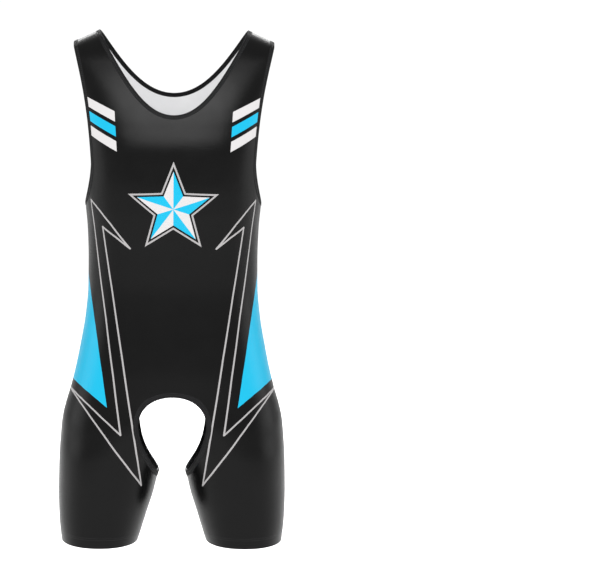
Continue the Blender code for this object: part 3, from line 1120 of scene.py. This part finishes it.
def ribbed_tape(binding):
    """Knitted elastane tape, folded over the edge. Fine ribs run across it and dull it."""
    material, tree, shader = new_material("folded_elastic_tape")
    _, axes = place_on_flat(tree)
    turn = add_node(tree, MATH, axes["X"], 2 * math.pi / RIB_PITCH, operation="MULTIPLY").outputs[0]
    rib = add_node(tree, MATH, turn, operation="SINE").outputs[0]
    relief = {"Height": rib, "Strength": 0.4, "Distance": KNIT_DEPTH}
    finish = {
        "Base Color": dyed(tree, binding.black, 25.0, 0.85, 1.15),
        "Roughness": 0.6,
        "Specular IOR Level": soft_gloss(tree, 0.12),
        "Normal": add_node(tree, "ShaderNodeBump", inputs=relief).outputs["Normal"],
    }
    fill_inputs(tree, shader, finish)
    return material


def sewing_thread(stitches):
    """Twisted polyester thread, slightly glossier than the cloth that it holds."""
    material, tree, shader = new_material("polyester_thread")
    place = add_node(tree, "ShaderNodeTexCoord").outputs["Object"]
    twist = {"Vector": place, "Scale": TWISTS_PER_METRE}
    noise = add_node(tree, "ShaderNodeTexNoise", inputs=twist).outputs["Fac"]
    shade = add_node(tree, "ShaderNodeMapRange", noise, 0.0, 1.0, 0.8, 1.2).outputs["Result"]
    shades = {0: tuple(stitches.black), "Scale": shade}
    relief = {"Height": noise, "Strength": 0.3, "Distance": TWIST_DEPTH}
    finish = {
        "Base Color": add_node(tree, VECTOR_MATH, inputs=shades, operation="SCALE").outputs[0],
        "Roughness": 0.42,
        "Normal": add_node(tree, "ShaderNodeBump", inputs=relief).outputs["Normal"],
    }
    fill_inputs(tree, shader, finish)
    return material


def shared_material(name, build, settings):
    """A material that several operators use, built by the first of them."""
    return bpy.data.materials.get(name) or build(settings)


# Pieces

# The allowances: name, edge, where along the edge they start and end, and how many rows they have
SEAM_ALLOWANCES = (
    ("side_seam", side_seam, 0.0, 1.0, 60),
    ("inseam", inseam, 0.0, 1.0, 16),
    ("shoulder_seam", shoulder, 0.1, 0.9, 16),
)


def binding_rows(width):
    """How far in from a binding's folded edge its rows of stitches lie."""
    return [part * width for part in BINDING_STITCH_ROWS]


def inner_profile(cloth, width, stitch_rows):
    """The outline of cloth that is turned in, or sewn in, against the inner face."""
    top = OVERLAP - cloth.thickness
    return folded_profile(width, top, top - ALLOWANCE_THICKNESS, stitch_rows, INNER_DIP)


def add_strip(name, bm, side, material):
    """Makes a piece of a left side's strip, of its mirror image, or of both in one."""
    if side == "both":
        add_other_side(bm)
    close_strip(bm)
    if side == "right":
        swap_sides(bm)
    return add_piece(name, bm, [material])


class BODYSUIT_OT_panels(bpy.types.Operator):
    """Lay the front and the back of the bodysuit, printed outside and white inside"""

    bl_idname = "bodysuit.panels"
    bl_label = "Panels"

    def execute(self, context):
        cloth = context.scene.bodysuit_cloth
        binding = context.scene.bodysuit_binding
        inside = shared_material("undyed_jersey_inside", plain_jersey, cloth)
        even = spread(SEAM_SIDE, 1.0 - SEAM_SIDE, PANEL_COLUMNS)
        edge_inset = binding.width * TUCKED_UNDER
        opening_inset = binding.opening_width * TUCKED_UNDER
        for half in HALVES:
            near_side = inner_border(half, cloth.fineness, edge_inset, opening_inset)
            far_side = outer_border(half, cloth.fineness, edge_inset)
            bm = panel_sheet(half, near_side, far_side, [0.0, *even, 1.0])
            add_other_side(bm)
            make_wall(bm, cloth.thickness)
            piece = add_piece(half + "_cloth", bm, [printed_jersey(half, cloth), inside])
            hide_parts(half + "_panel")
        return {"FINISHED"}


class BODYSUIT_OT_bindings(bpy.types.Operator):
    """Fold the black bindings over the neck, the armholes and the seat opening"""

    bl_idname = "bodysuit.bindings"
    bl_label = "Bindings"

    def execute(self, context):
        binding = context.scene.bodysuit_binding
        fineness = context.scene.bodysuit_cloth.fineness
        tape = shared_material("folded_elastic_tape", ribbed_tape, binding)
        top, bottom = binding.proud, binding.proud - binding.thickness
        for half in HALVES:
            for name, edge, places, width, sides in (
                ("neck", neckline, neck_steps(fineness), binding.width, ("both",)),
                ("opening", opening, opening_steps(fineness), binding.opening_width, ("both",)),
                ("armhole", armhole, armhole_steps(fineness), binding.width, SIDES),
            ):
                profile = folded_profile(width, top, bottom, binding_rows(width), BINDING_DIP)
                for side in sides:
                    sided = name if side == "both" else f"{side}_{name}"
                    bm = strip_sheet(half, edge, places, profile)
                    piece = add_strip(f"{sided}_tape_{half}", bm, side, tape)
                    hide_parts(f"{sided}_binding_{half}")
        return {"FINISHED"}


class BODYSUIT_OT_hems(bpy.types.Operator):
    """Turn up the leg hems, so that black cloth shows inside them"""

    bl_idname = "bodysuit.hems"
    bl_label = "Hems"

    def execute(self, context):
        cloth = context.scene.bodysuit_cloth
        tape = shared_material("folded_elastic_tape", ribbed_tape, context.scene.bodysuit_binding)
        profile = inner_profile(cloth, HEM_DEPTH, HEM_STITCH_ROWS)
        places = spread(0.0, 1.0, HEM_ROWS * cloth.fineness)
        for half in HALVES:
            for side in SIDES:
                bm = strip_sheet(half, hem, places, profile)
                add_strip(f"{side}_hem_turning_{half}", bm, side, tape)
        return {"FINISHED"}


class BODYSUIT_OT_seams(bpy.types.Operator):
    """Lay the overlocked seam allowances inside the side seams, inseams and shoulders"""

    bl_idname = "bodysuit.seams"
    bl_label = "Seam allowances"

    def execute(self, context):
        cloth = context.scene.bodysuit_cloth
        inside = shared_material("undyed_jersey_inside", plain_jersey, cloth)
        profile = inner_profile(cloth, ALLOWANCE_WIDTH, ALLOWANCE_STITCH_ROWS)
        for name, edge, first, last, rows in SEAM_ALLOWANCES:
            for side in SIDES:
                bm = strip_sheet("back", edge, spread(first, last, rows), profile)
                add_strip(f"{side}_{name}_allowance", bm, side, inside)
        return {"FINISHED"}


def stitch_line(bm, half, edge, inset, lift, stitches):
    """Short raised stitches laid end to end along an edge, at this distance into the cloth."""
    steps = spread(0.0, LAST_STEP.get(edge, 1.0), STITCH_LINE_STEPS)
    places = [inset_place(half, edge, t, inset) for t in steps]
    points = [lifted_point(half, *place, lift) for place in places]
    normals = [outward(half, *place) for place in places]
    size = (stitches.length / 2, stitches.thread / 2, stitches.thread / 2 * THREAD_HEIGHT)
    at = stitches.pitch / 2
    for n in range(STITCH_LINE_STEPS):
        step = points[n + 1] - points[n]
        while at < step.length:
            middle = points[n] + step * (at / step.length)
            along, up = step.normalized(), normals[n].lerp(normals[n + 1], at / step.length)
            side = up.cross(along).normalized()
            up = along.cross(side)
            place = Matrix((along, side, up)).transposed().to_4x4()
            matrix = Matrix.Translation(middle) @ place @ Matrix.Diagonal((*size, 1.0))
            bmesh.ops.create_icosphere(bm, subdivisions=1, radius=1.0, matrix=matrix)
            at += stitches.pitch
        at -= step.length


class BODYSUIT_OT_stitches(bpy.types.Operator):
    """Sew two rows of stitches along every binding and hem, outside and inside"""

    bl_idname = "bodysuit.stitches"
    bl_label = "Stitches"

    def execute(self, context):
        stitches = context.scene.bodysuit_stitches
        binding = context.scene.bodysuit_binding
        cloth = context.scene.bodysuit_cloth
        thread = shared_material("polyester_thread", sewing_thread, stitches)
        tape_faces = (binding.proud, binding.proud - binding.thickness)
        hem_faces = (0.0, -cloth.thickness - ALLOWANCE_THICKNESS)
        for name, edge, insets, lifts in (
            ("neck", neckline, binding_rows(binding.width), tape_faces),
            ("opening", opening, binding_rows(binding.opening_width), tape_faces),
            ("armhole", armhole, binding_rows(binding.width), tape_faces),
            ("hem", hem, HEM_STITCH_ROWS, hem_faces),
        ):
            for half in HALVES:
                for side in SIDES:
                    bm = bmesh.new()
                    for inset in insets:
                        for lift in lifts:
                            stitch_line(bm, half, edge, inset, lift, stitches)
                    if side == "right":
                        swap_sides(bm)
                    piece = f"{side}_{name}_stitches_{half}"
                    add_piece(piece, bm, [thread], sharp=math.pi)
        return {"FINISHED"}


class BODYSUIT_OT_cloth(bpy.types.Operator):
    """Does nothing: no flat cut of the two panels is stated here"""

    bl_idname = "bodysuit.cloth"
    bl_label = "Flat cuts"

    def execute(self, context):
        return {"FINISHED"}


# Studio

# Soft area lights: name, place, width, height and power in watts. Each faces the garment.
LIGHTS = (
    ("front_softbox", (0.0, -4.0, 1.8), 6.0, 1.4, 280.0),
    ("back_softbox", (0.0, 4.0, 1.55), 6.0, 1.4, 230.0),
    ("left_softbox", (4.0, 0.0, -0.2), 2.2, 1.6, 30.0),
    ("right_softbox", (-4.0, 0.0, -0.2), 2.2, 1.6, 30.0),
)
GARMENT_MIDDLE = (0.0, 0.0, -0.43)
VIEW_MIDDLE = (0.2134, 0.0, -0.4315)
FLOOR_SIZE = 60.0
SENSOR_WIDTH = 36.0
SIGHT_ENDS_AT = 200.0


def aim(thing, target):
    direction = Vector(target) - thing.location
    thing.rotation_euler = direction.to_track_quat("-Z", "Y").to_euler()


class BODYSUIT_OT_stage(bpy.types.Operator):
    """Lay the pale floor, set the lights and stand the camera in front of the garment"""

    bl_idname = "bodysuit.stage"
    bl_label = "Stage"

    def execute(self, context):
        scene = context.scene
        stage = scene.bodysuit_stage
        material, tree, shader = new_material("matt_studio_floor")
        finish = {"Base Color": (*stage.floor_colour, 1.0), "Roughness": 0.9}
        fill_inputs(tree, shader, finish)
        bm = bmesh.new()
        bmesh.ops.create_grid(bm, x_segments=1, y_segments=1, size=FLOOR_SIZE / 2)
        bmesh.ops.translate(bm, verts=bm.verts[:], vec=(0.0, 0.0, stage.floor_height))
        mesh = bpy.data.meshes.new("studio_floor")
        bm.to_mesh(mesh)
        bm.free()
        mesh.materials.append(material)
        floor = bpy.data.objects.new("studio_floor", mesh)
        scene.collection.objects.link(floor)
        for name, place, width, height, power in LIGHTS:
            light = bpy.data.lights.new(name, "AREA")
            light.shape = "RECTANGLE"
            light.size = width
            light.size_y = height
            light.energy = power
            lamp = bpy.data.objects.new(name, light)
            lamp.location = place
            scene.collection.objects.link(lamp)
            aim(lamp, GARMENT_MIDDLE)
        world = bpy.data.worlds.new("even_white_room")
        world.use_nodes = True
        background = world.node_tree.nodes["Background"]
        background.inputs["Color"].default_value = (1.0, 1.0, 1.0, 1.0)
        background.inputs["Strength"].default_value = stage.sky_strength
        scene.world = world
        camera_data = bpy.data.cameras.new("camera")
        camera_data.sensor_width = SENSOR_WIDTH
        camera_data.lens = SENSOR_WIDTH * stage.distance / stage.view_width
        camera_data.clip_end = SIGHT_ENDS_AT
        camera = bpy.data.objects.new("camera", camera_data)
        out = -stage.distance * math.cos(stage.elevation)
        up = VIEW_MIDDLE[2] + stage.distance * math.sin(stage.elevation)
        camera.location = (0.0, out, up)
        scene.collection.objects.link(camera)
        aim(camera, VIEW_MIDDLE)
        camera.rotation_euler.rotate_axis("Z", stage.roll)
        scene.camera = camera
        scene.view_settings.view_transform = "Standard"
        return {"FINISHED"}


class BODYSUIT_PT_sidebar(bpy.types.Panel):
    bl_idname = "BODYSUIT_PT_sidebar"
    bl_label = "Bodysuit"
    bl_space_type = "VIEW_3D"
    bl_region_type = "UI"
    bl_category = "Bodysuit"

    def draw(self, context):
        for settings in SETTINGS:
            group = getattr(context.scene, settings)
            for name in group.__annotations__:
                self.layout.prop(group, name)
        for operator in OPERATORS:
            self.layout.operator(operator.bl_idname)


SETTINGS = {
    "bodysuit_cloth": ClothSettings,
    "bodysuit_binding": BindingSettings,
    "bodysuit_stitches": StitchSettings,
    "bodysuit_stage": StageSettings,
}
OPERATORS = (
    BODYSUIT_OT_panels,
    BODYSUIT_OT_bindings,
    BODYSUIT_OT_hems,
    BODYSUIT_OT_seams,
    BODYSUIT_OT_stitches,
    BODYSUIT_OT_cloth,
    BODYSUIT_OT_stage,
)


def register():
    for kind in (*SETTINGS.values(), *OPERATORS, BODYSUIT_PT_sidebar):
        bpy.utils.register_class(kind)
    for name, kind in SETTINGS.items():
        setattr(bpy.types.Scene, name, PointerProperty(type=kind))


def unregister():
    for name in SETTINGS:
        delattr(bpy.types.Scene, name)
    for kind in (BODYSUIT_PT_sidebar, *OPERATORS, *SETTINGS.values()):
        bpy.utils.unregister_class(kind)


def main():
    register()
    bpy.ops.bodysuit.panels()
    bpy.ops.bodysuit.bindings()
    bpy.ops.bodysuit.hems()
    bpy.ops.bodysuit.seams()
    bpy.ops.bodysuit.stitches()
    bpy.ops.bodysuit.cloth()
    bpy.ops.bodysuit.stage()


if __name__ == "__main__":
    main()
